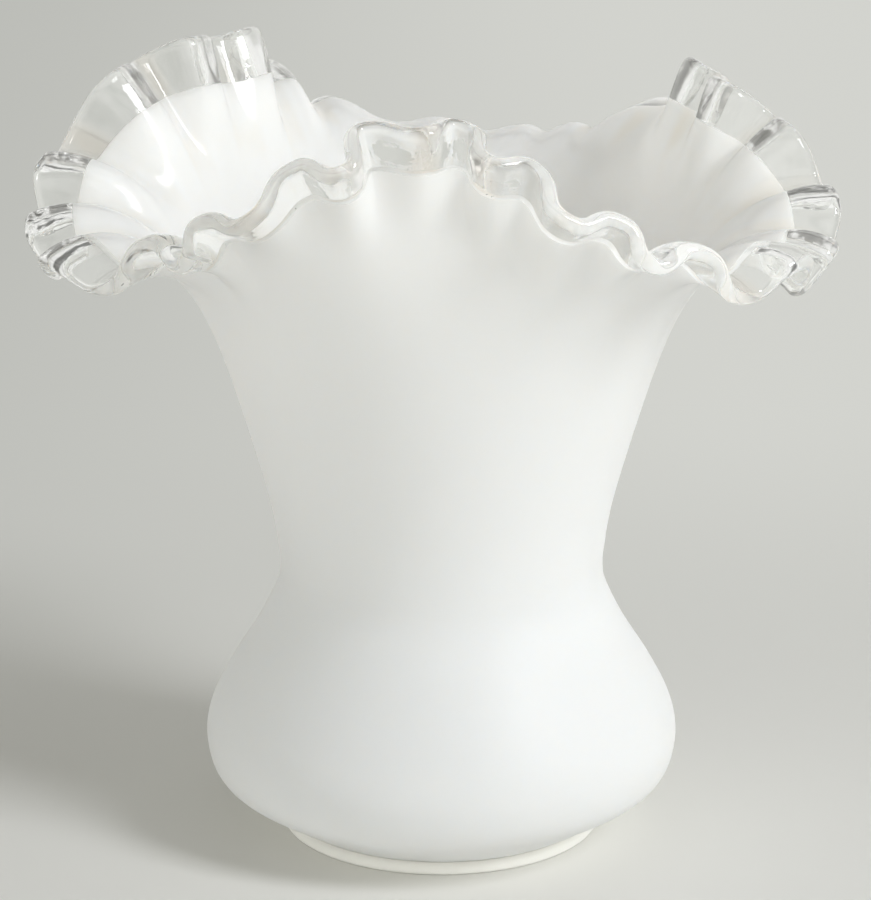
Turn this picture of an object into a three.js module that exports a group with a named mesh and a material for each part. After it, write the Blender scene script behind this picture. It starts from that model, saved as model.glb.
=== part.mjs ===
// Crimped vase: an opal glass body on a low pressed foot, with a band of clear glass
// fused along its flared and crimped rim.
// Millimetres, +Z up, origin at the centre of the foot's underside.
// Azimuths are in degrees, from +X towards +Y. The front of the vase is at 270.

import * as THREE from 'three';

// Foot
const footRadius = 40.8;
const footHeight = 3.2;
const footTaper = 0.9;
const footRounding = 0.8;

// Opal body
const wallThickness = 3.4;
const floorThickness = 5;
const baseRadius = 40.2;
const bulbRadius = 60.3;
const bulbHeight = 23;
const waistRadius = 41.1;
const waistHeight = 70;

// Flared sheet above the waist, measured in the middle of its thickness
const flareRadius = 45.6;
const flareHeight = 101.4;
const flareLean = 16.5;
const curlSharpness = 2.8;

// Rim, taken every 22.5 degrees of azimuth: how far the sheet bends outwards, in degrees,
// its length from the start of the flare to the free edge, and the width of the clear crest
const rimBend = [74, 8, 60, 141, 143, 106, 8, 19, 92, 122, 75, 37, -11, 44, 95, 113];
const rimLength = [91, 93.5, 96.5, 99.5, 99, 101.5, 99, 100.5, 95, 94, 88, 102, 103.5, 93.5, 90.5, 92];
const rimCrest = [11, 11.5, 12, 12, 12, 12.5, 13, 12.5, 11, 11.5, 12, 12, 11.5, 10.5, 11.5, 11.5];

// Crimps, made one by one and so uneven: the azimuth of each inward ridge, and its share of
// the usual depth. They reach some way down from the free edge, and get deeper and squarer
// towards it.
const ridgeAzimuths = [
  7, 17, 35, 59, 68, 76, 90, 107, 117, 130, 150, 164, 179,
  190, 199, 223, 232, 248, 258, 274, 284, 297, 308, 328, 338, 352,
];
const ridgeShares = [
  1.25, 1.05, 1.05, 0.4, 0.55, 0.5, 0.7, 0.6, 1, 1.15, 1.15, 1.05, 1.3,
  0.8, 1.05, 1, 0.85, 0.8, 1.45, 0.8, 0.95, 0.7, 0.9, 1.45, 1.05, 1,
];
const crimpDepth = 4.1;
const crimpReach = 38;
const crimpGrowth = 2;
const crimpSquareness = 1.8;

// Free edge of the clear crest, and the hairline seams between the fused pieces
const crestEdgeThickness = 4.1;
const seamGap = 0.3;

// Segments around, and steps up: the plain lower part, and the crimped part
const ridgeCount = ridgeAzimuths.length;
const plainCount = ridgeCount * 3;
const crimpedCount = ridgeCount * 6;
const outlineSteps = 16;
const plainSteps = 3;
const crimpedSteps = 5;

// Steps that slopes and normals are worked out with: pieces of the sheet's length, and how
// far to look to each side, in radians, in crimps and in millimetres along the sheet
const slopeSteps = 40;
const azimuthStep = 0.004;
const turnStep = 0.02;
const distanceStep = 0.2;

const radians = THREE.MathUtils.degToRad;

// Value at a turn counted in crimps, straight from each ridge to the next. Ridges fall on
// whole numbers, and a whole round adds a rise to the value.
function alongRidges(values, turn, rise = 0) {
  const wrapped = ((turn % ridgeCount) + ridgeCount) % ridgeCount;
  const index = Math.floor(wrapped);
  const last = index === ridgeCount - 1;
  const to = last ? values[0] + rise : values[index + 1];
  return THREE.MathUtils.lerp(values[index], to, wrapped - index);
}

function azimuthAt(turn) {
  return radians(alongRidges(ridgeAzimuths, turn, 360));
}

// Bend, length and crest width around the rim as one closed smooth curve
const rimStations = rimBend.map((bend, i) => new THREE.Vector3(bend, rimLength[i], rimCrest[i]));
const rimCurve = new THREE.CatmullRomCurve3(rimStations, true, 'catmullrom', 0.5);

function rimAt(azimuth) {
  const fullTurn = 2 * Math.PI;
  const share = (((azimuth / fullTurn) % 1) + 1) % 1;
  const station = rimCurve.getPoint(share);
  return { bend: radians(station.x), length: station.y, crest: station.z };
}

// Slope of the sheet from the vertical. It starts with the lean of the body and curls over
// more and more towards the free edge.
function slopeAt(rim, distance) {
  const share = Math.max(0, distance) / rim.length;
  return radians(flareLean) + rim.bend * share ** curlSharpness;
}

// Point in the middle of the sheet without its crimps, at an azimuth and a distance along it
function smoothSheet(azimuth, distance) {
  const rim = rimAt(azimuth);
  const step = distance / slopeSteps;
  let radius = flareRadius;
  let height = flareHeight;
  for (let i = 0; i < slopeSteps; i += 1) {
    const slope = slopeAt(rim, (i + 0.5) * step);
    radius += Math.sin(slope) * step;
    height += Math.cos(slope) * step;
  }
  return new THREE.Vector3(radius * Math.cos(azimuth), radius * Math.sin(azimuth), height);
}

// Frame of a sheet at a point: where it is, its outward normal and its upward direction.
// The sheet gives a point for a place around it and a distance along it.
function frameOn(sheet, place, placeStep, distance) {
  const centre = sheet(place, distance);
  const sideways = sheet(place + placeStep, distance).sub(sheet(place - placeStep, distance));
  const upward = sheet(place, distance + distanceStep).sub(sheet(place, distance - distanceStep));
  upward.normalize();
  const outward = sideways.cross(upward).normalize();
  return { centre, outward, upward };
}

// Point in the middle of the crimped sheet, at a turn counted in crimps and a distance along it
function crimpedSheet(turn, distance) {
  const azimuth = azimuthAt(turn);
  const smooth = frameOn(smoothSheet, azimuth, azimuthStep, distance);
  const left = rimAt(azimuth).length - distance;
  const growth = Math.max(0, 1 - left / crimpReach) ** crimpGrowth;
  const wave = Math.atan(crimpSquareness * growth * Math.cos(2 * Math.PI * turn));
  const depth = crimpDepth * alongRidges(ridgeShares, turn);
  const inward = (depth * wave) / Math.atan(crimpSquareness);
  return smooth.centre.addScaledVector(smooth.outward, -inward);
}

function sheetFrame(turn, distance) {
  return frameOn(crimpedSheet, turn, turnStep, distance);
}

function offsetPoint(frame, outwards, upwards = 0) {
  return frame.centre.clone()
    .addScaledVector(frame.outward, outwards)
    .addScaledVector(frame.upward, upwards);
}

// Distance along the sheet at which the crimps start
function crimpStart(turn) {
  return rimAt(azimuthAt(turn)).length - crimpReach;
}

// Distance along the sheet at which the opal glass ends and the clear glass begins
function seamDistance(turn) {
  const rim = rimAt(azimuthAt(turn));
  return rim.length - rim.crest;
}

// Ring of points made by calling a function with the turn in crimps
function ring(count, place) {
  const points = [];
  for (let i = 0; i < count; i += 1) {
    points.push(place((i * ridgeCount) / count));
  }
  return points;
}

// Plain round ring of a radius at a height, its points at the azimuths of the crimps
function roundRing(count, radius, height) {
  return ring(count, (turn) => {
    const azimuth = azimuthAt(turn);
    return new THREE.Vector3(radius * Math.cos(azimuth), radius * Math.sin(azimuth), height);
  });
}

// Surface made by joining rings in order. A ring may have twice the points of its neighbour.
// A closed surface joins the last ring to the first; an open one ends in a point at each end.
// A four-sided patch between two rings is split along its shorter diagonal.
function joinRings(rings, closed) {
  const positions = [];
  const starts = [];
  for (const points of rings) {
    starts.push(positions.length / 3);
    for (const point of points) positions.push(point.x, point.y, point.z);
  }
  const faces = [];
  const joins = closed ? rings.length : rings.length - 1;
  for (let r = 0; r < joins; r += 1) {
    const next = (r + 1) % rings.length;
    const lower = rings[r].length;
    const upper = rings[next].length;
    const low = (i) => starts[r] + (i % lower);
    const high = (i) => starts[next] + (i % upper);
    const diagonal = (i, j) => rings[r][i % lower].distanceTo(rings[next][j % upper]);
    if (lower === 1) {
      for (let i = 0; i < upper; i += 1) faces.push(low(0), high(i + 1), high(i));
    } else if (upper === 1) {
      for (let i = 0; i < lower; i += 1) faces.push(low(i), low(i + 1), high(0));
    } else if (lower === upper) {
      for (let i = 0; i < lower; i += 1) {
        if (diagonal(i, i + 1) < diagonal(i + 1, i)) {
          faces.push(low(i), low(i + 1), high(i + 1), low(i), high(i + 1), high(i));
        } else {
          faces.push(low(i), low(i + 1), high(i), low(i + 1), high(i + 1), high(i));
        }
      }
    } else if (upper > lower) {
      for (let i = 0; i < lower; i += 1) {
        faces.push(low(i), high(2 * i + 1), high(2 * i));
        faces.push(low(i), low(i + 1), high(2 * i + 1));
        faces.push(low(i + 1), high(2 * i + 2), high(2 * i + 1));
      }
    } else {
      for (let i = 0; i < upper; i += 1) {
        faces.push(high(i), low(2 * i), low(2 * i + 1));
        faces.push(high(i), low(2 * i + 1), high(i + 1));
        faces.push(high(i + 1), low(2 * i + 1), low(2 * i + 2));
      }
    }
  }
  const geometry = new THREE.BufferGeometry();
  geometry.setAttribute('position', new THREE.Float32BufferAttribute(positions, 3));
  geometry.setIndex(faces);
  geometry.computeVertexNormals();
  return geometry;
}

function piece(name, geometry, colour, roughness) {
  const material = new THREE.MeshStandardMaterial({ color: colour, roughness, metalness: 0 });
  const mesh = new THREE.Mesh(geometry, material);
  mesh.name = name;
  return mesh;
}

// Low round foot, flat underneath, tapering a little towards the body
function footDisc() {
  const rounding = [0, 30, 60, 90].map((degrees) => {
    const angle = radians(degrees);
    const radius = footRadius - footRounding * (1 - Math.sin(angle));
    const height = footRounding * (1 - Math.cos(angle));
    return roundRing(plainCount, radius, height);
  });
  const top = roundRing(plainCount, footRadius - footTaper, footHeight);
  const underCentre = [new THREE.Vector3(0, 0, 0)];
  const topCentre = [new THREE.Vector3(0, 0, footHeight)];
  return joinRings([underCentre, ...rounding, top, topCentre], false);
}

// Outside line of the body from the foot to the start of the flare
function bodyOutline() {
  const halfWall = wallThickness / 2;
  const lean = radians(flareLean);
  const base = footHeight + seamGap;
  const endRadius = flareRadius + halfWall * Math.cos(lean);
  const endHeight = flareHeight - halfWall * Math.sin(lean);
  // Points between two named levels are shares of the way from the first to the second
  const between = (r0, h0, r1, h1, radiusShare, heightShare) => new THREE.Vector2(
    THREE.MathUtils.lerp(r0, r1, radiusShare),
    THREE.MathUtils.lerp(h0, h1, heightShare),
  );
  const shoulder = (a, b) => between(baseRadius, base, bulbRadius, bulbHeight, a, b);
  const side = (a, b) => between(bulbRadius, bulbHeight, waistRadius, waistHeight, a, b);
  const neck = (a, b) => between(waistRadius, waistHeight, endRadius, endHeight, a, b);
  return new THREE.SplineCurve([
    shoulder(0, 0),
    shoulder(0.35, 0.22),
    shoulder(0.85, 0.57),
    shoulder(1, 1),
    side(0.055, 0.18),
    side(0.31, 0.395),
    side(0.69, 0.645),
    side(0.95, 0.87),
    side(1, 1),
    neck(0.075, 0.17),
    neck(0.225, 0.385),
    neck(0.5, 0.64),
    neck(1, 1),
  ]);
}

// Body: flat underside, bulb, waist and flared sheet, and the same way back inside
function opalBody() {
  const halfWall = wallThickness / 2;
  const base = footHeight + seamGap;
  const floor = base + floorThickness;
  const outline = bodyOutline();
  const stepShares = Array.from({ length: outlineSteps }, (_, i) => i / outlineSteps);

  const underCentre = [new THREE.Vector3(0, 0, base)];
  const outside = [];
  const inside = [];
  for (const share of stepShares) {
    const point = outline.getPointAt(share);
    const direction = outline.getTangentAt(share);
    outside.push(roundRing(plainCount, point.x, point.y));
    const innerRadius = point.x - direction.y * wallThickness;
    const innerHeight = point.y + direction.x * wallThickness;
    if (innerHeight > floor + wallThickness) {
      inside.unshift(roundRing(plainCount, innerRadius, innerHeight));
    }
  }

  // Flared sheet, plain up to the start of the crimps and crimped from there to the seam
  const plainRing = (share, outwards) => ring(plainCount, (turn) => {
    return offsetPoint(sheetFrame(turn, crimpStart(turn) * share), outwards);
  });
  const crimpedRing = (share, outwards) => ring(crimpedCount, (turn) => {
    const distance = THREE.MathUtils.lerp(crimpStart(turn), seamDistance(turn), share);
    const upwards = share === 1 ? -seamGap / 2 : 0;
    return offsetPoint(sheetFrame(turn, distance), outwards, upwards);
  });
  const flareOutside = [];
  const flareInside = [];
  for (let i = 0; i < plainSteps; i += 1) {
    flareOutside.push(plainRing(i / plainSteps, halfWall));
    flareInside.unshift(plainRing(i / plainSteps, -halfWall));
  }
  for (let i = 0; i <= crimpedSteps; i += 1) {
    flareOutside.push(crimpedRing(i / crimpedSteps, halfWall));
    flareInside.unshift(crimpedRing(i / crimpedSteps, -halfWall));
  }

  // Inside floor, a shallow bowl running up into the wall
  const lowest = inside[inside.length - 1][0];
  const bowlRadius = Math.hypot(lowest.x, lowest.y);
  const bowl = [];
  for (const share of [0.93, 0.8, 0.45]) {
    const height = THREE.MathUtils.lerp(floor, lowest.z, share ** 10);
    bowl.push(roundRing(plainCount, bowlRadius * share, height));
  }
  bowl.push([new THREE.Vector3(0, 0, floor)]);

  return joinRings([underCentre, ...outside, ...flareOutside, ...flareInside, ...inside, ...bowl], false);
}

// Crest: the last stretch of the crimped sheet, with a rounded, slightly swollen free edge
function clearCrest() {
  const halfWall = wallThickness / 2;
  const bead = crestEdgeThickness / 2;
  const crestRing = (share, outwards, upwards) => ring(crimpedCount, (turn) => {
    const edge = rimAt(azimuthAt(turn)).length - bead;
    const distance = THREE.MathUtils.lerp(seamDistance(turn), edge, share);
    return offsetPoint(sheetFrame(turn, distance), outwards, upwards);
  });
  const outside = [];
  const inside = [];
  for (const share of [0, 0.35, 0.7]) {
    const half = THREE.MathUtils.lerp(halfWall, bead, share);
    const upwards = share === 0 ? seamGap / 2 : 0;
    outside.push(crestRing(share, half, upwards));
    inside.unshift(crestRing(share, -half, upwards));
  }
  const roundEdge = [0, 45, 90, 135, 180].map((degrees) => {
    const angle = radians(degrees);
    return crestRing(1, bead * Math.cos(angle), bead * Math.sin(angle));
  });
  return joinRings([...outside, ...roundEdge, ...inside], true);
}

const vase = new THREE.Group();
vase.name = 'crimped_vase';
vase.add(piece('foot', footDisc(), 0xf3f3ef, 0.12));
vase.add(piece('opal_body', opalBody(), 0xf6f6f3, 0.1));
vase.add(piece('clear_crest', clearCrest(), 0xe4e8e6, 0.04));

export default vase;
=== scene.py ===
"""Looks of the crimped vase: opal glass on a low foot, with a clear crest along its rim."""

import math

import bmesh
import bpy
import numpy as np
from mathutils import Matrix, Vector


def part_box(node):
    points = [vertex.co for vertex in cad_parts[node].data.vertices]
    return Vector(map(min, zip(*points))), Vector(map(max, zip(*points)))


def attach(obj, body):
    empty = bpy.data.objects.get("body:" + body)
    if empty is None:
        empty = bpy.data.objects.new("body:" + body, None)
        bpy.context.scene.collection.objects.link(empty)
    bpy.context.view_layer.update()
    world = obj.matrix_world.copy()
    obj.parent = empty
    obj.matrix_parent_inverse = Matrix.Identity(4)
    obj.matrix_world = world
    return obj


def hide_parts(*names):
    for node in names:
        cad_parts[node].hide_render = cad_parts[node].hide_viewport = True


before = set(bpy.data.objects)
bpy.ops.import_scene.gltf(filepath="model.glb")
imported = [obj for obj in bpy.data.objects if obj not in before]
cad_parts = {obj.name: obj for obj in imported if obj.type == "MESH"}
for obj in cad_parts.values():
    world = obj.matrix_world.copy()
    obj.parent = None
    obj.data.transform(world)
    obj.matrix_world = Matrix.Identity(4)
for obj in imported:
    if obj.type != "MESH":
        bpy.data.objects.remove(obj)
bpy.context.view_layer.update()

MM = 0.001
BODY = "root"

# Body, in millimetres
WALL = 3.4
FLOOR = 5.0
BASE_RADIUS = 40.2
BULB_RADIUS = 60.3
BULB_HEIGHT = 23.0
WAIST_RADIUS = 41.1
WAIST_HEIGHT = 70.0

# Outside line between those places, as shares of the way across and of the way up
BASE_TO_BULB = [(0, 0), (0.35, 0.22), (0.85, 0.57), (1, 1)]
BULB_TO_WAIST = [(0.055, 0.18), (0.31, 0.395), (0.69, 0.645), (0.95, 0.87), (1, 1)]
WAIST_TO_FLARE = [(0.075, 0.17), (0.225, 0.385), (0.5, 0.64), (1, 1)]

# Bowl inside the bulb: shares of its radius, and the power with which it rises to the wall
BOWL_SHARES = [0.97, 0.93, 0.87, 0.8, 0.65, 0.45, 0.2]
BOWL_POWER = 10

# Flared sheet, in the middle of its thickness: its start, its lean there, the power of its curl
FLARE_RADIUS = 45.6
FLARE_HEIGHT = 101.4
FLARE_LEAN = 16.5
CURL_SHARPNESS = 2.8

# Rim at even azimuths: degrees of outward bend, length of the sheet, width of the clear crest
RIM_BEND = [74, 8, 60, 141, 143, 106, 8, 19, 92, 122, 75, 37, -11, 44, 95, 113]
RIM_LENGTH = [91, 93.5, 96.5, 99.5, 99, 101.5, 99, 100.5, 95, 94, 88, 102, 103.5, 93.5, 90.5, 92]
RIM_CREST = [11, 11.5, 12, 12, 12, 12.5, 13, 12.5, 11, 11.5, 12, 12, 11.5, 10.5, 11.5, 11.5]

# Power with which the crimps grow towards the edge: they start softer on the right-hand side
RIM_GROWTH = [2.4, 2.4, 2.3, 2, 2, 1.8, 1.5, 1.35, 1.35, 1.6, 2.2, 2.3, 2.2, 2.2, 2.3, 2.4]

# Crimps: azimuth of each inward ridge, and its share of the usual depth
RIDGE_AZIMUTHS = [
    7, 17, 35, 59, 68, 76, 90, 107, 117, 130, 150, 164, 179,
    190, 203.5, 223, 232, 248, 258, 274, 284, 297, 308, 328, 338, 352,
]
RIDGE_SHARES = [
    1.25, 1.05, 1.05, 0.4, 0.55, 0.5, 0.7, 0.6, 1, 1.15, 1.15, 1.05, 1.3,
    0.8, 1.05, 1, 0.85, 0.8, 1.45, 0.8, 0.95, 0.7, 0.9, 1.45, 1.05, 1,
]
RIDGES = len(RIDGE_AZIMUTHS)

# Usual depth of a crimp, how far it reaches from the edge, and how square its wave is
CRIMP_DEPTH = 4.1
CRIMP_REACH = 38.0
CRIMP_SQUARENESS = 1.8

# Clear crest: the swell is the share of its width by which it is as thick as its edge
CREST_EDGE = 4.1
CREST_SWELL = 0.7

# Seam of body and crest: their overlap, and the distance of the points that keep corners crisp
FUSED_OVERLAP = 0.1
CORNER = 0.08

# Foot, from the frame
FOOT_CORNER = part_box("foot")[1]
FOOT_RADIUS = FOOT_CORNER[0] / MM
FOOT_HEIGHT = FOOT_CORNER[2] / MM
FOOT_TAPER = 0.9
FOOT_ROUNDING = 0.8
SEAM_GAP = 0.3

# Rings of points a little inside the edges of flat faces, which keep their shading even
BASE_MARGIN = 0.5
FOOT_MARGIN = 0.3

# Fineness of the surfaces: spokes for each crimp, rows along the sheet, steps of the sections
BODY_SPOKES = 14
CREST_SPOKES = 30
BODY_ROWS = 60
CREST_ROWS = 20
FOOT_ROWS = 2
OUTLINE_STEPS = 6
EDGE_STEPS = 10

# Places at which the sheet's slope is summed, and distance within which points are merged
SUM_PLACES = 7
MERGE_DISTANCE = 0.01

# Glass in general, with the depth of its ripples in metres
GLASS_IOR = 1.45
RIPPLE_DEPTH = 0.0004

# Opal glass: its clouds, painted warm light bounced from the floor near the foot, painted warm
# shade in the hollows, and the specks in their cells
OPAL_THIN = (0.94, 0.937, 0.924, 1)
OPAL_DENSE = (0.957, 0.956, 0.949, 1)
OPAL_PAINTED_BOUNCE = (0.955, 0.95, 0.915, 1)
OPAL_PAINTED_SHADE = (0.88, 0.79, 0.67, 1)
SPECK_COLOUR = (0.35, 0.32, 0.28, 1)
SPECK_EDGE = (0.035, 0.02)
SPECKS_LEFT_OUT = 0.8
SPECK_STRENGTH = 0.5

# Where its looks change: heights in metres for the painted floor bounce and for the polish,
# rows for the painted shade in the hollows
PAINTED_BOUNCE_HEIGHTS = (0.035, 0.002)
POLISH_HEIGHTS = (0.1, 0.16)
POLISH = 0.45
NEAR_CREST_ROWS = (38.0, 54.0)

# Clear glass: its colour, the painted warm shade in its hollows, and what it lets through of the
# light
CLEAR_COLOUR = (0.985, 0.99, 0.985, 1)
CLEAR_PAINTED_SHADE = (0.975, 0.915, 0.84, 1)
CLEAR_THROUGH = (0.94, 0.94, 0.93, 1)

# Painted warm shade in the hollows: the crimp's number, from 1 on a ridge to -1 between two,
# and the patches of painted shade there
OPAL_SHADED_HOLLOWS = (0.5, -0.5)
OPAL_SHADE_PATCHES = (0.38, 0.65, 0.1, 0.5)
CLEAR_SHADED_HOLLOWS = (-0.2, -0.95)
CLEAR_SHADE_PATCHES = (0.45, 0.65, 0.05, 0.6)

# Waviness of the clear glass from one row to the next, against that along the rim
WAVES_PER_ROW = 0.004

# Kinds of rays: those that show the background, and those that only carry light
SEEING_RAYS = ("Is Camera Ray", "Is Glossy Ray", "Is Transmission Ray")
LIGHTING_RAYS = ("Is Shadow Ray", "Is Diffuse Ray")

# Camera, in metres, degrees and millimetres
CAMERA_PLACE = (-0.0015, -1.0817, 0.4458)
CAMERA_TILT = 72.24
CAMERA_LENS = 179.4
CAMERA_SENSOR = 36.0

# Floor, its reach to each side in metres, and the glowing tones it fades into behind the vase,
# with painted light falloff: darker on the left, lighter on the right
FLOOR_REACH = 4.0
FLOOR_COLOUR = (0.79, 0.79, 0.77, 1)
FLOOR_GRAIN = 0.97
BACKDROP_SHADED_LEFT = (0.5, 0.505, 0.475, 1)
BACKDROP_LIT_RIGHT = (0.65, 0.655, 0.62, 1)
BACKDROP_SIDEWAYS = (-0.25, 0.12)
BACKDROP_BEHIND = (0.02, 0.36)

# Light of the room, by the upward part of its direction: stronger from below than from above
ROOM_LIGHT = (1.0, 0.995, 0.92, 1)
ROOM_CHANGE = (0.2, 0.5)
ROOM_BELOW = 1.33
ROOM_ABOVE = 0.235

# What the glass shows of the room: pale, with a dark band high up all the way round
PALE_ROOM = (0.94, 0.94, 0.92, 1)
DARK_BAND = (0.0, 0.0, 0.0, 1)
BAND_START = (0.5, 0.56)
BAND_END = (0.7, 0.64)

# Place the lamps look at, in metres
LAMP_TARGET = (0.0, 0.0, 0.1)


class Value:
    """A socket of a node tree that can be used in sums with other sockets and numbers."""

    def __init__(self, tree, socket):
        self.tree = tree
        self.socket = socket

    def __add__(self, other):
        return self.tree.maths("ADD", self, other)

    __radd__ = __add__

    def __mul__(self, other):
        return self.tree.maths("MULTIPLY", self, other)

    __rmul__ = __mul__

    def __sub__(self, other):
        return self.tree.maths("SUBTRACT", self, other)

    def __rsub__(self, other):
        return self.tree.maths("SUBTRACT", other, self)

    def __truediv__(self, other):
        return self.tree.maths("DIVIDE", self, other)

    def __pow__(self, other):
        return self.tree.maths("POWER", self, other)


class Tree:
    """Builds the nodes of one material or of one shape."""

    def __init__(self, tree):
        self.tree = tree
        self.tree.nodes.clear()

    def node(self, kind, settings=None, values=None):
        """Add a node: its settings first, then the values or links of its sockets."""
        node = self.tree.nodes.new(kind)
        for key, setting in (settings or {}).items():
            setattr(node, key, setting)
        for key, value in (values or {}).items():
            self.feed(node.inputs[key], value)
        return node

    def feed(self, socket, value):
        """Set a socket to a number, a colour or a name, or link it to another socket."""
        if isinstance(value, Value):
            self.tree.links.new(value.socket, socket)
        else:
            socket.default_value = value

    def get(self, kind, settings=None, values=None, output=0):
        """Add a node and return one of its outputs."""
        return Value(self, self.node(kind, settings, values).outputs[output])

    def maths(self, operation, *values):
        return self.get("ShaderNodeMath", {"operation": operation}, dict(enumerate(values)))

    def vector(self, operation, *values):
        """Vector arithmetic. The scale of a scaled vector is its fourth socket."""
        if operation == "SCALE":
            values = {0: values[0], "Scale": values[1]}
        else:
            values = dict(enumerate(values))
        return self.get("ShaderNodeVectorMath", {"operation": operation}, values)

    def combine(self, x, y, z):
        return self.get("ShaderNodeCombineXYZ", values={0: x, 1: y, 2: z})

    def split(self, vector):
        """The three parts of a vector."""
        node = self.node("ShaderNodeSeparateXYZ", values={0: vector})
        return [Value(self, socket) for socket in node.outputs]

    def noise(self, vector, scale, detail):
        values = {"Vector": vector, "Scale": scale, "Detail": detail}
        return self.get("ShaderNodeTexNoise", values=values)

    def mix(self, factor, first, second):
        """Blend two colours."""
        node = self.node("ShaderNodeMix", {"data_type": "RGBA"}, {0: factor, 6: first, 7: second})
        return Value(self, node.outputs[2])


class Shape(Tree):
    """A geometry tree with named inputs that ends in real geometry with its material."""

    def __init__(self, name):
        super().__init__(bpy.data.node_groups.new(name, "GeometryNodeTree"))
        self.name = name
        self.inlet = self.tree.nodes.new("NodeGroupInput")
        self.outlet = self.tree.nodes.new("NodeGroupOutput")
        self.sizes = {}
        self.base = self.size("Geometry", "NodeSocketGeometry")
        self.tree.interface.new_socket(
            "Geometry", in_out="OUTPUT", socket_type="NodeSocketGeometry",
        )

    def size(self, name, kind="NodeSocketFloat"):
        """Add a named input."""
        socket = self.tree.interface.new_socket(name, in_out="INPUT", socket_type=kind)
        self.sizes[name] = socket.identifier
        return Value(self, self.inlet.outputs[socket.identifier])

    def attribute(self, name):
        values = {"Name": name}
        return self.get("GeometryNodeInputNamedAttribute", {"data_type": "FLOAT"}, values)

    def sample(self, geometry, kind, value, index):
        settings = {"data_type": kind, "domain": "POINT"}
        values = {"Geometry": geometry, "Value": value, "Index": index}
        return self.get("GeometryNodeSampleIndex", settings, values)

    def end(self, geometry, material):
        """Finish the tree and hand the geometry out."""
        smooth = self.get("GeometryNodeSetShadeSmooth", values={"Geometry": geometry})
        real = self.get("GeometryNodeRealizeInstances", values={"Geometry": smooth})
        values = {"Geometry": real, "Material": material}
        self.feed(self.outlet.inputs[0], self.get("GeometryNodeSetMaterial", values=values))


def smooth_between(before, start, end, after, share):
    """Point between start and end on the smooth curve through four values."""
    return 0.5 * (
        2 * start
        + (end - before) * share
        + (2 * before - 5 * start + 4 * end - after) * share ** 2
        + (3 * start - before - 3 * end + after) * share ** 3
    )


def around(values, share):
    """Smooth closed curve through evenly spaced values, at a share of the whole turn."""
    place = share % 1 * len(values)
    index = int(place)
    four = [values[(index + step) % len(values)] for step in (-1, 0, 1, 2)]
    return smooth_between(*four, place - index)


def along(points, steps):
    """Smooth open curve through points, in even steps between each pair."""
    points = np.array(points)
    padded = np.vstack([points[:1], points, points[-1:]])
    line = []
    for index in range(len(points) - 1):
        for step in range(steps):
            line.append(smooth_between(*padded[index:index + 4], step / steps))
    line.append(points[-1])
    return np.array(line)


def along_ridges(values, turn, rise=0.0):
    """Value at a turn counted in crimps. A whole round adds a rise to it."""
    index = int(turn) % RIDGES
    start = values[index]
    end = values[(index + 1) % RIDGES] + (rise if index == RIDGES - 1 else 0.0)
    return start + (end - start) * (turn % 1)


def line_object(name, points, closed, numbers):
    """Helper line with a number of each kind on each of its points."""
    count = len(points)
    edges = [(i, i + 1) for i in range(count - 1)]
    if closed:
        edges.append((count - 1, 0))
    mesh = bpy.data.meshes.new(name)
    mesh.from_pydata(points, edges, [])
    for kind, values in numbers.items():
        mesh.attributes.new(kind, "FLOAT", "POINT").data.foreach_set("value", values)
    helper = bpy.data.objects.new(name, mesh)
    bpy.context.scene.collection.objects.link(helper)
    return helper


def sheet_start(length, crest):
    """Where the sheet starts."""
    return 0.0


def seam(length, crest):
    """Where the opal glass ends and the clear crest starts."""
    return length - crest


def crest_start(length, crest):
    """Start of the crest, a little inside the opal glass."""
    return seam(length, crest) - FUSED_OVERLAP


def crest_end(length, crest):
    """Middle of the crest's rounded edge."""
    return length - CREST_EDGE / 2


def rim_guide(name, spokes, start, end):
    """Ring of spokes that says how the sheet runs at each of them.

    start and end give the stretch of the sheet to use, from the sheet's whole length and
    the width of the crest.
    """
    turns = [i / spokes for i in range(RIDGES * spokes)]
    azimuths = [along_ridges(RIDGE_AZIMUTHS, turn, 360.0) for turn in turns]
    lengths = [around(RIM_LENGTH, azimuth / 360) for azimuth in azimuths]
    crests = [around(RIM_CREST, azimuth / 360) for azimuth in azimuths]
    numbers = {
        "spoke": [float(i) for i in range(len(turns))],
        "azimuth": [math.radians(azimuth) for azimuth in azimuths],
        "bend": [math.radians(around(RIM_BEND, azimuth / 360)) for azimuth in azimuths],
        "length": [length * MM for length in lengths],
        "growth": [around(RIM_GROWTH, azimuth / 360) for azimuth in azimuths],
        "crimp": [math.cos(2 * math.pi * turn) for turn in turns],
        "depth": [along_ridges(RIDGE_SHARES, turn) for turn in turns],
        "start": [start(*sizes) * MM for sizes in zip(lengths, crests)],
        "end": [end(*sizes) * MM for sizes in zip(lengths, crests)],
    }
    points = [(math.cos(a), math.sin(a), 0.0) for a in numbers["azimuth"]]
    return line_object(name, points, True, numbers)


def section_line(name, places, closed):
    """Section of a wall. Each place is (radius, height), or (row, side, upwards) on the sheet."""
    kinds = ("plain_radius", "plain_height", "on_sheet", "row", "side", "upwards")
    numbers = {kind: [] for kind in kinds}
    for place in places:
        on_sheet = len(place) == 3
        plain = (0.0, 0.0) if on_sheet else place
        offset = place if on_sheet else (0.0, 0.0, 0.0)
        numbers["plain_radius"].append(plain[0] * MM)
        numbers["plain_height"].append(plain[1] * MM)
        numbers["on_sheet"].append(float(on_sheet))
        numbers["row"].append(float(offset[0]))
        numbers["side"].append(offset[1] * MM)
        numbers["upwards"].append(offset[2] * MM)
    points = [(index * MM, 0.0, 0.0) for index in range(len(places))]
    if closed:
        turn = 2 * math.pi / len(places)
        points = [(math.cos(i * turn), math.sin(i * turn), 0.0) for i in range(len(places))]
    return line_object(name, points, closed, numbers)


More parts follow.
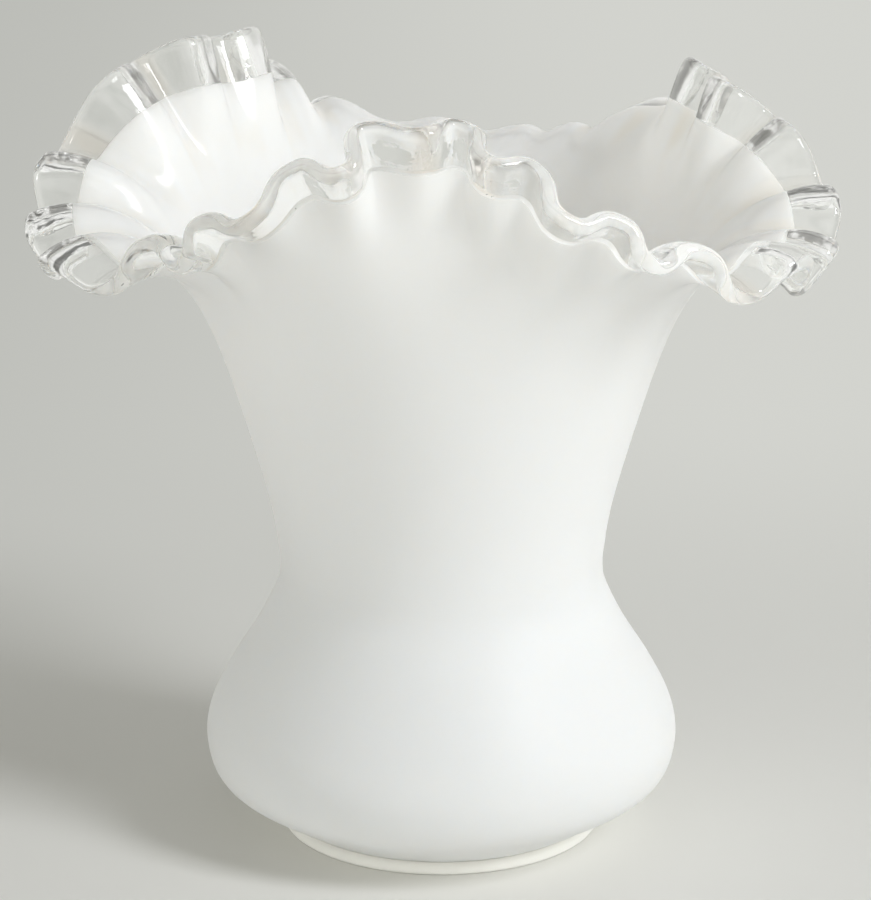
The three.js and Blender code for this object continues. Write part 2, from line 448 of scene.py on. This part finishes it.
def glass_wall_shape():
    """Shape that bends and crimps a sheet from a ring of spokes and gives it a wall.

    The slope of the sheet starts with the lean and grows with a power of the distance, and
    its place is the sum of the slope along it, taken at a few weighted places. The sheet has
    a spare row at each end, so that its normals are right up to its edges.
    """
    shape = Shape("Bent and crimped glass wall")
    section_object = shape.size("Section", "NodeSocketObject")
    rows = shape.size("Rows")
    flare_radius = shape.size("Flare radius")
    flare_height = shape.size("Flare height")
    lean = shape.size("Flare lean")
    sharpness = shape.size("Curl sharpness")
    crimp_depth = shape.size("Crimp depth")
    crimp_reach = shape.size("Crimp reach")
    squareness = shape.size("Crimp squareness")
    material = shape.size("Material", "NodeSocketMaterial")

    # Middle of the sheet: one line of rows swept round the ring
    ring = shape.get("GeometryNodeMeshToCurve", values={"Mesh": shape.base})
    ladder = shape.get("GeometryNodeMeshLine", values={"Count": rows + 2})
    index = shape.get("GeometryNodeInputIndex")
    settings = {"data_type": "FLOAT", "domain": "POINT"}
    values = {"Geometry": ladder, "Name": "rise", "Value": (index - 1) / (rows - 1)}
    ladder = shape.get("GeometryNodeStoreNamedAttribute", settings, values)
    ladder = shape.get("GeometryNodeMeshToCurve", values={"Mesh": ladder})
    sheet = shape.get("GeometryNodeCurveToMesh", values={"Curve": ring, "Profile Curve": ladder})

    start, end = shape.attribute("start"), shape.attribute("end")
    length = shape.attribute("length")
    bend = shape.attribute("bend")
    azimuth = shape.attribute("azimuth")
    distance = start + (end - start) * shape.attribute("rise")
    share = distance / length
    outwards, upwards = 0.0, 0.0
    for place, weight in zip(*np.polynomial.legendre.leggauss(SUM_PLACES)):
        part = share * float((1 + place) / 2)
        slope = lean + bend * part ** sharpness
        outwards = shape.maths("SINE", slope) * float(weight / 2) + outwards
        upwards = shape.maths("COSINE", slope) * float(weight / 2) + upwards
    slope = lean + bend * share ** sharpness
    sine, cosine = shape.maths("SINE", slope), shape.maths("COSINE", slope)
    late = shape.maths("MAXIMUM", 1 - (length - distance) / crimp_reach, 0.0)
    wave = late ** shape.attribute("growth") * shape.attribute("crimp") * squareness
    wave = shape.maths("ARCTANGENT", wave) / shape.maths("ARCTANGENT", squareness)
    inward = wave * crimp_depth * shape.attribute("depth")
    radius = flare_radius + distance * outwards
    height = flare_height + distance * upwards
    east, north = shape.maths("COSINE", azimuth), shape.maths("SINE", azimuth)
    values = {"Geometry": sheet, "Position": shape.combine(radius * east, radius * north, height)}
    sheet = shape.get("GeometryNodeSetPosition", values=values)
    sheet = shape.get("GeometryNodeFlipFaces", values={"Mesh": sheet})
    pushed = shape.vector("SCALE", shape.get("GeometryNodeInputNormal"), inward * -1)
    sheet = shape.get("GeometryNodeSetPosition", values={"Geometry": sheet, "Offset": pushed})
    uphill = shape.combine(sine * east, sine * north, cosine)

    # Wall: the section swept round the same ring, and set off from the middle of the sheet
    values = {"Object": section_object}
    section = shape.get("GeometryNodeObjectInfo", values=values, output="Geometry")
    section = shape.get("GeometryNodeMeshToCurve", values={"Mesh": section})
    wall = shape.get("GeometryNodeCurveToMesh", values={"Curve": ring, "Profile Curve": section})
    number = shape.attribute("spoke") * (rows + 2) + shape.attribute("row") + 1
    middle = shape.sample(sheet, "FLOAT_VECTOR", shape.get("GeometryNodeInputPosition"), number)
    normal = shape.sample(sheet, "FLOAT_VECTOR", shape.get("GeometryNodeInputNormal"), number)
    uphill = shape.sample(sheet, "FLOAT_VECTOR", uphill, number)
    sideways = shape.vector("SCALE", normal, shape.attribute("side"))
    lifted = shape.vector("SCALE", uphill, shape.attribute("upwards"))
    on_sheet = shape.vector("ADD", middle, shape.vector("ADD", sideways, lifted))
    plain_radius = shape.attribute("plain_radius")
    plain_height = shape.attribute("plain_height")
    turned = shape.combine(plain_radius * east, plain_radius * north, plain_height)
    flag = shape.attribute("on_sheet")
    place = shape.vector("ADD", shape.vector("SCALE", on_sheet, flag), turned)
    wall = shape.get("GeometryNodeSetPosition", values={"Geometry": wall, "Position": place})
    values = {"Geometry": wall, "Distance": MERGE_DISTANCE * MM}
    wall = shape.get("GeometryNodeMergeByDistance", values=values)
    shape.end(wall, material)
    return shape


def blow(shape, name, guide, section, rows, material):
    """Run the shape on a guide and keep the result as a plain piece."""
    sizes = {
        "Section": section,
        "Rows": float(rows),
        "Flare radius": FLARE_RADIUS * MM,
        "Flare height": FLARE_HEIGHT * MM,
        "Flare lean": math.radians(FLARE_LEAN),
        "Curl sharpness": CURL_SHARPNESS,
        "Crimp depth": CRIMP_DEPTH * MM,
        "Crimp reach": CRIMP_REACH * MM,
        "Crimp squareness": CRIMP_SQUARENESS,
        "Material": material,
    }
    modifier = guide.modifiers.new(shape.name, "NODES")
    modifier.node_group = shape.tree
    for size, value in sizes.items():
        modifier[shape.sizes[size]] = value
    evaluated = guide.evaluated_get(bpy.context.evaluated_depsgraph_get())
    mesh = bpy.data.meshes.new_from_object(evaluated)
    mesh.name = name
    solid = bmesh.new()
    solid.from_mesh(mesh)
    bmesh.ops.recalc_face_normals(solid, faces=solid.faces)
    if solid.calc_volume(signed=True) < 0:
        bmesh.ops.reverse_faces(solid, faces=solid.faces)
    solid.to_mesh(mesh)
    solid.free()
    piece = bpy.data.objects.new(name, mesh)
    bpy.context.scene.collection.objects.link(piece)
    for helper in (guide, section):
        bpy.data.objects.remove(helper)
    return piece


def body_outline():
    """Outside line of the body from its underside to the start of the flare."""
    half = WALL / 2
    lean = math.radians(FLARE_LEAN)
    base = np.array([BASE_RADIUS, FOOT_HEIGHT + SEAM_GAP])
    bulb = np.array([BULB_RADIUS, BULB_HEIGHT])
    waist = np.array([WAIST_RADIUS, WAIST_HEIGHT])
    flare = np.array([
        FLARE_RADIUS + half * math.cos(lean),
        FLARE_HEIGHT - half * math.sin(lean),
    ])
    stretches = [
        (base, bulb, BASE_TO_BULB),
        (bulb, waist, BULB_TO_WAIST),
        (waist, flare, WAIST_TO_FLARE),
    ]
    points = []
    for low, high, shares in stretches:
        points += [low + (high - low) * np.array(share) for share in shares]
    return along(points, OUTLINE_STEPS)


def body_section():
    """Section of the body: underside, outside, flared sheet, and the same way back inside."""
    half = WALL / 2
    base = FOOT_HEIGHT + SEAM_GAP
    floor = base + FLOOR
    outline = body_outline()
    tangents = np.gradient(outline, axis=0)
    tangents /= np.linalg.norm(tangents, axis=1)[:, None]
    inner = outline + np.stack([-tangents[:, 1], tangents[:, 0]], axis=1) * WALL
    inner = [tuple(point) for point in inner if point[1] > floor + WALL]

    places = [(0.0, base), (BASE_RADIUS / 2, base), (BASE_RADIUS - BASE_MARGIN, base)]
    places += [tuple(point) for point in outline[:-1]]
    last = BODY_ROWS - 1
    places += [(row, half, 0.0) for row in range(last)]
    places += [(last, half, -CORNER), (last, half, 0.0), (last, half - CORNER, 0.0)]
    places += [(last, CORNER - half, 0.0), (last, -half, 0.0), (last, -half, -CORNER)]
    places += [(row, -half, 0.0) for row in reversed(range(last))]
    places += list(reversed(inner[:-1]))
    bowl_radius, bowl_height = inner[0]
    for share in BOWL_SHARES:
        rise = (bowl_height - floor) * share ** BOWL_POWER
        places.append((bowl_radius * share, floor + rise))
    places.append((0.0, floor))
    return places


def crest_section():
    """Section of the crest, thicker towards its rounded edge."""
    bead = CREST_EDGE / 2
    last = CREST_ROWS - 1
    half = WALL / 2
    swell = [min(1, row / last / CREST_SWELL) for row in range(CREST_ROWS)]
    halves = [half + (bead - half) * share for share in swell]
    places = [(0, CORNER - half, 0.0), (0, half - CORNER, 0.0), (0, half, 0.0), (0, half, CORNER)]
    places += [(row, halves[row], 0.0) for row in range(1, CREST_ROWS)]
    for step in range(1, EDGE_STEPS):
        angle = math.pi * step / EDGE_STEPS
        places.append((last, bead * math.cos(angle), bead * math.sin(angle)))
    places += [(row, -halves[row], 0.0) for row in reversed(range(1, CREST_ROWS))]
    places += [(0, -half, CORNER), (0, -half, 0.0)]
    return places


def foot_section():
    """Section of the foot, flat underneath, with a rounded lower edge."""
    flat = FOOT_RADIUS - FOOT_ROUNDING
    places = [(0.0, 0.0), (FOOT_RADIUS / 2, 0.0), (flat - FOOT_MARGIN, 0.0)]
    for degrees in range(0, 91, 15):
        angle = math.radians(degrees)
        radius = FOOT_RADIUS - FOOT_ROUNDING * (1 - math.sin(angle))
        places.append((radius, FOOT_ROUNDING * (1 - math.cos(angle))))
    top = FOOT_RADIUS - FOOT_TAPER
    places += [(radius, FOOT_HEIGHT) for radius in (top, top - FOOT_MARGIN, top / 2, 0.0)]
    return places


def new_material(name):
    """Empty material and the builder of its nodes."""
    material = bpy.data.materials.new(name)
    material.use_nodes = True
    return material, Tree(material.node_tree)


def stretch(tree, value, low, high, to_low=0.0, to_high=1.0):
    """Smooth step of a value from one pair of numbers to another."""
    return tree.get("ShaderNodeMapRange", {"interpolation_type": "SMOOTHSTEP"}, {
        "Value": value, "From Min": low, "From Max": high, "To Min": to_low, "To Max": to_high,
    })


def number_of(tree, name):
    """Number that the shape left on the points of the piece."""
    return tree.get("ShaderNodeAttribute", {"attribute_name": name}, output="Fac")


def one_of_the_rays(tree, kinds):
    """1 where a ray is of one of the kinds, and 0 elsewhere."""
    rays = tree.node("ShaderNodeLightPath")
    found, *others = [Value(tree, rays.outputs[kind]) for kind in kinds]
    for other in others:
        found = tree.maths("MAXIMUM", found, other)
    return found


def opal_glass(name, subsurface):
    """Dense white glass, glossy at the fire-polished rim and softer on the body below it.

    Light spreads inside it. Painted warm light bounced from the floor tints it near the foot,
    and painted warm shade darkens the hollows of the crimps next to the crest.
    """
    material, tree = new_material(name)
    place = tree.get("ShaderNodeTexCoord", output="Object")
    clouds = tree.noise(place, scale=18.0, detail=3.0)
    colour = tree.mix(clouds, OPAL_THIN, OPAL_DENSE)
    height = tree.split(place)[2]
    # Painted warm light bounced from the floor, near the foot
    colour = tree.mix(stretch(tree, height, *PAINTED_BOUNCE_HEIGHTS), colour, OPAL_PAINTED_BOUNCE)

    # Painted warm shade in the hollows of the crimps, on the inside next to the crest, in patches
    shaded_hollow = stretch(tree, number_of(tree, "crimp"), *OPAL_SHADED_HOLLOWS)
    near_crest = stretch(tree, number_of(tree, "row"), *NEAR_CREST_ROWS)
    near_crest = near_crest * number_of(tree, "on_sheet")
    inside = tree.maths("LESS_THAN", number_of(tree, "side"), 0.0)
    shade_patches = stretch(tree, tree.noise(place, scale=45.0, detail=1.0), *OPAL_SHADE_PATCHES)
    colour = tree.mix(shaded_hollow * near_crest * inside * shade_patches, colour, OPAL_PAINTED_SHADE)

    cells = tree.node("ShaderNodeTexVoronoi", values={"Vector": place, "Scale": 60.0})
    speck = stretch(tree, Value(tree, cells.outputs["Distance"]), *SPECK_EDGE)
    kept = tree.maths("GREATER_THAN", Value(tree, cells.outputs["Color"]), SPECKS_LEFT_OUT)
    colour = tree.mix(speck * kept * SPECK_STRENGTH, colour, SPECK_COLOUR)

    ripples = tree.noise(place, scale=60.0, detail=2.0)
    bump = tree.get("ShaderNodeBump", values={
        "Strength": 0.06, "Distance": RIPPLE_DEPTH, "Height": ripples,
    })
    shader = tree.get("ShaderNodeBsdfPrincipled", values={
        "Base Color": colour,
        "Roughness": ripples * 0.1 + 0.47,
        "Normal": bump,
        "IOR": GLASS_IOR,
        "Subsurface Weight": subsurface,
        "Subsurface Radius": (1.0, 0.92, 0.84),
        "Subsurface Scale": 0.013,
        "Coat Weight": stretch(tree, height, *POLISH_HEIGHTS, 0.0, POLISH),
        "Coat Roughness": 0.025,
    })
    tree.node("ShaderNodeOutputMaterial", values={"Surface": shader})
    return material


def clear_glass(name):
    """Colourless glass of the crest, with a faint waviness from the tool and painted warm shade
    in its hollows.

    It lets the lamps' light through to what lies behind it.
    """
    material, tree = new_material(name)
    place = tree.get("ShaderNodeTexCoord", output="Object")
    azimuth = number_of(tree, "azimuth")
    east, north = tree.maths("COSINE", azimuth), tree.maths("SINE", azimuth)
    along_crest = tree.combine(east, north, number_of(tree, "row") * WAVES_PER_ROW)
    waves = tree.noise(along_crest, scale=30.0, detail=2.0)
    bump = tree.get("ShaderNodeBump", values={
        "Strength": 0.25, "Distance": RIPPLE_DEPTH, "Height": waves,
    })
    # Painted warm shade in the hollows of the crimps, in patches
    shaded_hollow = stretch(tree, number_of(tree, "crimp"), *CLEAR_SHADED_HOLLOWS)
    shade_patches = stretch(tree, tree.noise(place, scale=60.0, detail=1.0), *CLEAR_SHADE_PATCHES)
    glass = tree.get("ShaderNodeBsdfPrincipled", values={
        "Base Color": tree.mix(shaded_hollow * shade_patches, CLEAR_COLOUR, CLEAR_PAINTED_SHADE),
        "Roughness": 0.01,
        "Normal": bump,
        "IOR": GLASS_IOR,
        "Transmission Weight": 0.9,
    })
    through = tree.get("ShaderNodeBsdfTransparent", values={"Color": CLEAR_THROUGH})
    lighting = one_of_the_rays(tree, LIGHTING_RAYS)
    mixed = tree.get("ShaderNodeMixShader", values={0: lighting, 1: glass, 2: through})
    tree.node("ShaderNodeOutputMaterial", values={"Surface": mixed})
    return material


def paper(name):
    """Matt pale sheet the vase stands on. Behind the vase it fades into a glowing backdrop with
    painted light falloff, darker on the left and lighter on the right.
    """
    material, tree = new_material(name)
    place = tree.get("ShaderNodeTexCoord", output="Object")
    darker = tuple(part * FLOOR_GRAIN for part in FLOOR_COLOUR[:3]) + (1,)
    grain = tree.noise(place, scale=3.0, detail=2.0)
    matt = tree.get("ShaderNodeBsdfPrincipled", values={
        "Base Color": tree.mix(grain, darker, FLOOR_COLOUR),
        "Roughness": 0.9,
    })
    sideways, behind = tree.split(place)[:2]
    # Painted light falloff: the glow behind the vase is darker on the left, lighter on the right
    painted_falloff = stretch(tree, sideways, *BACKDROP_SIDEWAYS)
    painted_falloff = tree.mix(painted_falloff, BACKDROP_SHADED_LEFT, BACKDROP_LIT_RIGHT)
    glowing_backdrop = tree.get("ShaderNodeEmission", values={"Color": painted_falloff, "Strength": 1.0})
    factor = stretch(tree, behind, *BACKDROP_BEHIND) * one_of_the_rays(tree, SEEING_RAYS)
    mixed = tree.get("ShaderNodeMixShader", values={0: factor, 1: matt, 2: glowing_backdrop})
    tree.node("ShaderNodeOutputMaterial", values={"Surface": mixed})
    return material


def camera():
    """Camera at the photograph's viewing angle."""
    data = bpy.data.cameras.new("camera")
    data.sensor_fit = "VERTICAL"
    data.sensor_height = CAMERA_SENSOR
    data.lens = CAMERA_LENS
    eye = bpy.data.objects.new("camera", data)
    eye.location = CAMERA_PLACE
    eye.rotation_euler = (math.radians(CAMERA_TILT), 0.0, 0.0)
    bpy.context.scene.collection.objects.link(eye)
    bpy.context.scene.camera = eye


def softbox(name, azimuth, elevation, distance, size, watts, colour):
    """Soft rectangular lamp that looks at the vase from a direction in degrees."""
    data = bpy.data.lights.new(name, "AREA")
    data.color = colour
    data.shape = "RECTANGLE"
    data.size, data.size_y = size
    data.energy = watts
    lamp = bpy.data.objects.new(name, data)
    angle, height = math.radians(azimuth), math.radians(elevation)
    direction = np.array([
        math.cos(angle) * math.cos(height),
        math.sin(angle) * math.cos(height),
        math.sin(height),
    ])
    lamp.location = np.array(LAMP_TARGET) + direction * distance
    lamp.rotation_euler = (math.pi / 2 - height, 0.0, angle + math.pi / 2)
    bpy.context.scene.collection.objects.link(lamp)


def studio():
    """Floor, world and lamps."""
    mesh = bpy.data.meshes.new("floor")
    signs = [(-1, -1), (1, -1), (1, 1), (-1, 1)]
    corners = [(FLOOR_REACH * x, FLOOR_REACH * y, 0) for x, y in signs]
    mesh.from_pydata(corners, [], [(0, 1, 2, 3)])
    floor = bpy.data.objects.new("floor", mesh)
    mesh.materials.append(paper("pale floor"))
    bpy.context.scene.collection.objects.link(floor)

    world = bpy.data.worlds.new("studio")
    bpy.context.scene.world = world
    world.use_nodes = True
    tree = Tree(world.node_tree)
    upwards = tree.split(tree.get("ShaderNodeTexCoord", output="Object"))[2]
    light = tree.get("ShaderNodeBackground", values={
        "Color": ROOM_LIGHT,
        "Strength": stretch(tree, upwards, *ROOM_CHANGE, ROOM_BELOW, ROOM_ABOVE),
    })
    band = stretch(tree, upwards, *BAND_START) * stretch(tree, upwards, *BAND_END)
    room = tree.mix(band, PALE_ROOM, DARK_BAND)
    shown = tree.get("ShaderNodeBackground", values={"Color": room, "Strength": 1.0})
    seeing = one_of_the_rays(tree, SEEING_RAYS)
    shade = tree.get("ShaderNodeMixShader", values={0: seeing, 1: light, 2: shown})
    tree.node("ShaderNodeOutputWorld", values={"Surface": shade})

    softbox(
        "key", azimuth=328, elevation=36, distance=2.2, size=(0.65, 0.9), watts=27.9,
        colour=(0.968, 0.98, 1.0),
    )
    softbox(
        "fill", azimuth=247, elevation=12, distance=2.2, size=(2.0, 1.3), watts=4,
        colour=(1.0, 1.0, 0.985),
    )


bpy.context.scene.view_settings.view_transform = "Standard"
camera()
studio()

opal = opal_glass("opal glass", subsurface=0.85)
foot_opal = opal_glass("foot opal glass", subsurface=0.15)
clear = clear_glass("clear glass")
wall_shape = glass_wall_shape()

body = blow(
    wall_shape, "opal_body_glass",
    rim_guide("body guide", BODY_SPOKES, sheet_start, seam),
    section_line("body section", body_section(), False),
    BODY_ROWS, opal,
)
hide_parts("opal_body")
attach(body, BODY)

crest = blow(
    wall_shape, "clear_crest_glass",
    rim_guide("crest guide", CREST_SPOKES, crest_start, crest_end),
    section_line("crest section", crest_section(), True),
    CREST_ROWS, clear,
)
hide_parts("clear_crest")
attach(crest, BODY)

foot = blow(
    wall_shape, "foot_glass",
    rim_guide("foot guide", BODY_SPOKES, sheet_start, seam),
    section_line("foot section", foot_section(), False),
    FOOT_ROWS, foot_opal,
)
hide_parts("foot")
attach(foot, BODY)
